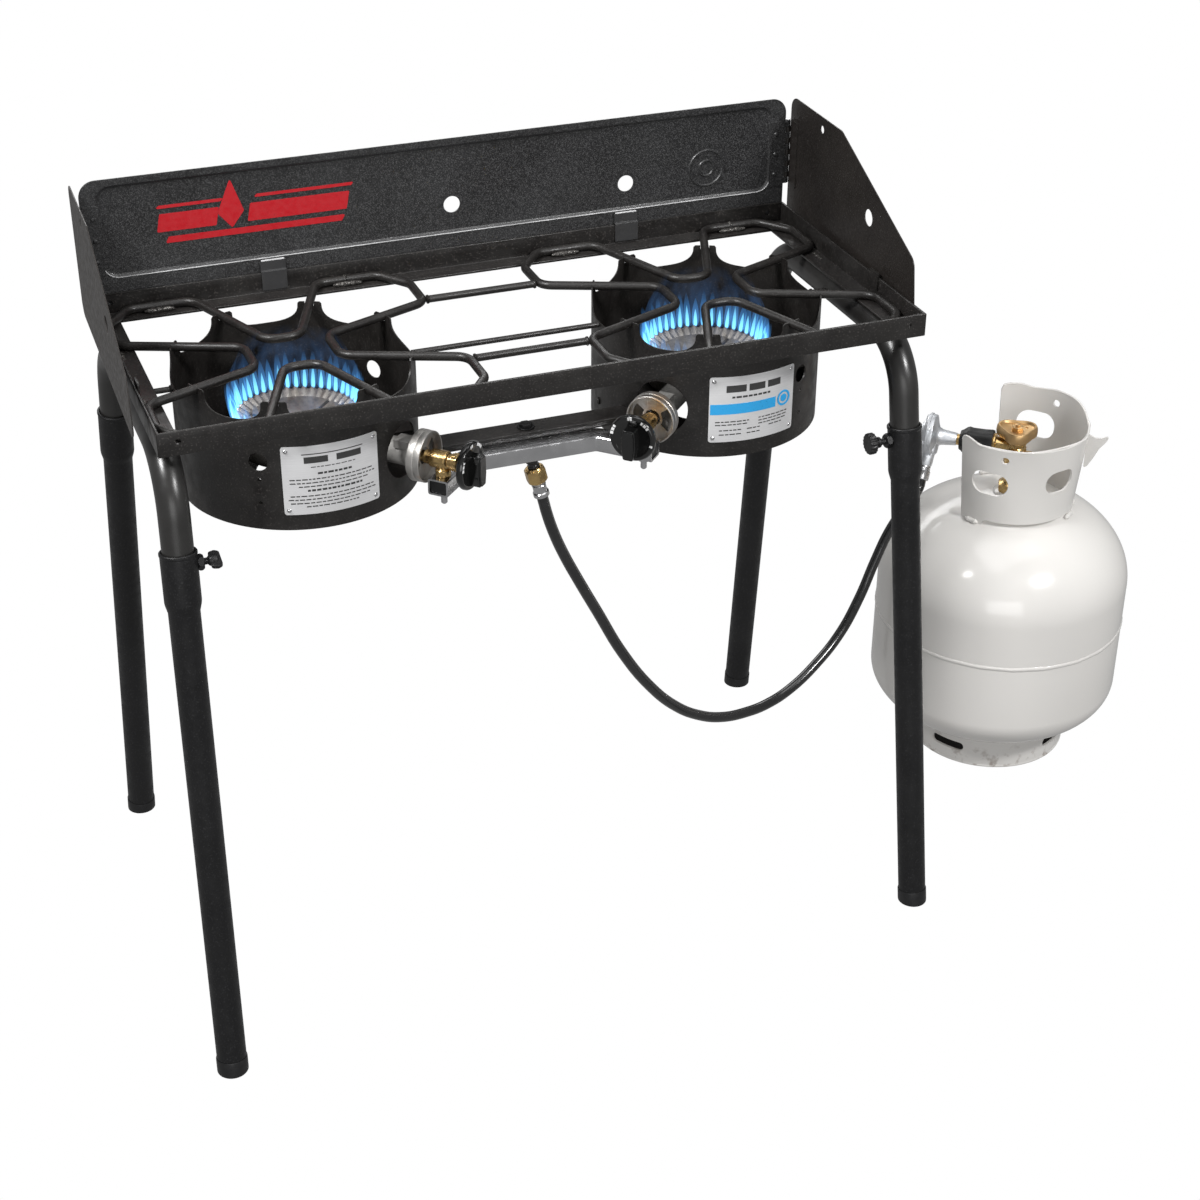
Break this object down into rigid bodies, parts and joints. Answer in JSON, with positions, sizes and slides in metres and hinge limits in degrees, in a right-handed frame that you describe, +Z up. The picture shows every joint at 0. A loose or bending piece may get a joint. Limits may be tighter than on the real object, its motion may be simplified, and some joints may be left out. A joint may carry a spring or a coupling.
{
  "type": "propane burner stand",
  "caption": "Camp stove stand with round burners in drums, star-shaped rod grates, folding windscreen, splayed screw-locked legs, gas hose, regulator and propane cylinder.",
  "frame": {"origin": "on the ground under the middle of the whole set, stand and cylinder together", "axes": "+X along the stand towards the gas cylinder, -Y towards the cook, +Z up"},
  "size_m": [1.2622, 0.5456, 0.846],
  "materials": {
    "frame_black": "satin black stove enamel over welded steel",
    "leg_black": "matt black powder coat",
    "screen_black": "satin black paint on sheet steel",
    "cast_burner": "heat-stained cast metal",
    "zinc_plate": "bright zinc plate",
    "die_cast": "satin die-cast metal",
    "brass": "machined, slightly tarnished",
    "black_plastic": "glossy black moulding",
    "black_rubber": "matt black rubber",
    "label_metal": "plain brushed plate",
    "tank_paint": "gloss off-white paint"
  },
  "bodies": {
    "stand": {"front_rail": "frame_black", "rear_rail": "frame_black", "left_rail": "frame_black", "right_rail": "frame_black", "left_grate": "frame_black", "right_grate": "frame_black", "front_link_rod": "frame_black", "rear_link_rod": "frame_black", "left_drum": "frame_black", "right_drum": "frame_black", "centre_brace_rod": "frame_black", "crossbar": "frame_black", "crossbar_bolt": "leg_black", "left_burner": "cast_burner", "left_valve": "brass", "right_burner": "cast_burner", "right_valve": "brass", "manifold": "zinc_plate", "left_manifold_plug": "black_rubber", "left_valve_bolt": "zinc_plate", "right_manifold_plug": "black_rubber", "right_valve_bolt": "zinc_plate", "hose_nipple": "black_plastic", "hose_nut": "brass", "hose_ferrule": "zinc_plate", "gas_hose": "black_rubber", "regulator": "die_cast", "cylinder_lower_shell": "tank_paint", "cylinder_upper_shell": "tank_paint", "cylinder_collar": "tank_paint", "cylinder_foot_ring": "tank_paint", "cylinder_valve": "brass", "left_arch_tube": "frame_black", "right_arch_tube": "frame_black", "left_label_plate": "label_metal", "right_label_plate": "label_metal"},
    "left_knob": {"left_knob": "black_plastic"},
    "right_knob": {"right_knob": "black_plastic"},
    "left_air_shutter": {"left_air_shutter": "zinc_plate"},
    "right_air_shutter": {"right_air_shutter": "zinc_plate"},
    "handwheel": {"cylinder_handwheel": "brass"},
    "coupling_nut": {"coupling_nut": "black_plastic"},
    "windscreen": {"windscreen_back": "screen_black", "left_hinge_pin": "zinc_plate", "right_hinge_pin": "zinc_plate"},
    "left_wing": {"left_wind_wing": "screen_black"},
    "right_wing": {"right_wind_wing": "screen_black"},
    "front_left_leg": {"front_left_leg": "leg_black", "front_left_foot_cap": "black_rubber"},
    "front_left_thumbscrew": {"front_left_thumbscrew": "leg_black"},
    "front_right_leg": {"front_right_leg": "leg_black", "front_right_foot_cap": "black_rubber"},
    "front_right_thumbscrew": {"front_right_thumbscrew": "leg_black"},
    "rear_left_leg": {"rear_left_leg": "leg_black", "rear_left_foot_cap": "black_rubber"},
    "rear_left_thumbscrew": {"rear_left_thumbscrew": "leg_black"},
    "rear_right_leg": {"rear_right_leg": "leg_black", "rear_right_foot_cap": "black_rubber"},
    "rear_right_thumbscrew": {"rear_right_thumbscrew": "leg_black"}
  },
  "joints": [
    {"name": "left_knob_turn", "type": "hinge", "parent": "stand", "child": "left_knob", "pos_m": [-0.29054, -0.14496, 0.614], "axis": [0.7071, -0.7071, 0], "range_deg": [0, 210]},
    {"name": "left_shutter_turn", "type": "hinge", "parent": "stand", "child": "left_air_shutter", "pos_m": [-0.32943, -0.10607, 0.614], "axis": [0.7071, -0.7071, 0], "range_deg": [0, 60]},
    {"name": "right_knob_turn", "type": "hinge", "parent": "stand", "child": "right_knob", "pos_m": [-0.11645, -0.14496, 0.614], "axis": [-0.7071, -0.7071, 0], "range_deg": [0, 210]},
    {"name": "right_shutter_turn", "type": "hinge", "parent": "stand", "child": "right_air_shutter", "pos_m": [-0.07756, -0.10607, 0.614], "axis": [-0.7071, -0.7071, 0], "range_deg": [0, 60]},
    {"name": "front_left_leg_slide", "type": "slide", "parent": "stand", "child": "front_left_leg", "axis": [-0.0233, -0.1462, -0.989], "range_m": [0, 0.06]},
    {"name": "front_left_thumbscrew_turn", "type": "hinge", "parent": "front_left_leg", "child": "front_left_thumbscrew", "pos_m": [-0.59998, -0.17028, 0.573], "axis": [1, 0, 0], "range_deg": [0, 540]},
    {"name": "rear_left_leg_slide", "type": "slide", "parent": "stand", "child": "rear_left_leg", "axis": [-0.0233, 0.1462, -0.989], "range_m": [0, 0.06]},
    {"name": "rear_left_thumbscrew_turn", "type": "hinge", "parent": "rear_left_leg", "child": "rear_left_thumbscrew", "pos_m": [-0.59998, 0.17028, 0.573], "axis": [1, 0, 0], "range_deg": [0, 540]},
    {"name": "front_right_leg_slide", "type": "slide", "parent": "stand", "child": "front_right_leg", "axis": [0.0233, -0.1462, -0.989], "range_m": [0, 0.06]},
    {"name": "front_right_thumbscrew_turn", "type": "hinge", "parent": "front_right_leg", "child": "front_right_thumbscrew", "pos_m": [0.19299, -0.17028, 0.573], "axis": [-1, 0, 0], "range_deg": [0, 540]},
    {"name": "rear_right_leg_slide", "type": "slide", "parent": "stand", "child": "rear_right_leg", "axis": [0.0233, 0.1462, -0.989], "range_m": [0, 0.06]},
    {"name": "rear_right_thumbscrew_turn", "type": "hinge", "parent": "rear_right_leg", "child": "rear_right_thumbscrew", "pos_m": [0.19299, 0.17028, 0.573], "axis": [-1, 0, 0], "range_deg": [0, 540]},
    {"name": "windscreen_lift", "type": "slide", "parent": "stand", "child": "windscreen", "axis": [0, 0, 1], "range_m": [0, 0.05]},
    {"name": "left_wing_swing", "type": "hinge", "parent": "windscreen", "child": "left_wing", "pos_m": [-0.614, 0.1815, 0.78], "axis": [0, 0, -1], "range_deg": [0, 90]},
    {"name": "right_wing_swing", "type": "hinge", "parent": "windscreen", "child": "right_wing", "pos_m": [0.207, 0.1815, 0.78], "axis": [0, 0, 1], "range_deg": [0, 90]},
    {"name": "handwheel_turn", "type": "hinge", "parent": "stand", "child": "handwheel", "pos_m": [0.4725, 0.04, 0.43], "axis": [0, 0, 1], "range_deg": [0, 720]},
    {"name": "coupling_nut_turn", "type": "hinge", "parent": "stand", "child": "coupling_nut", "pos_m": [0.43049, 0.0755, 0.412], "axis": [-0.7638, 0.6454, 0], "range_deg": [0, 720]}
  ]
}
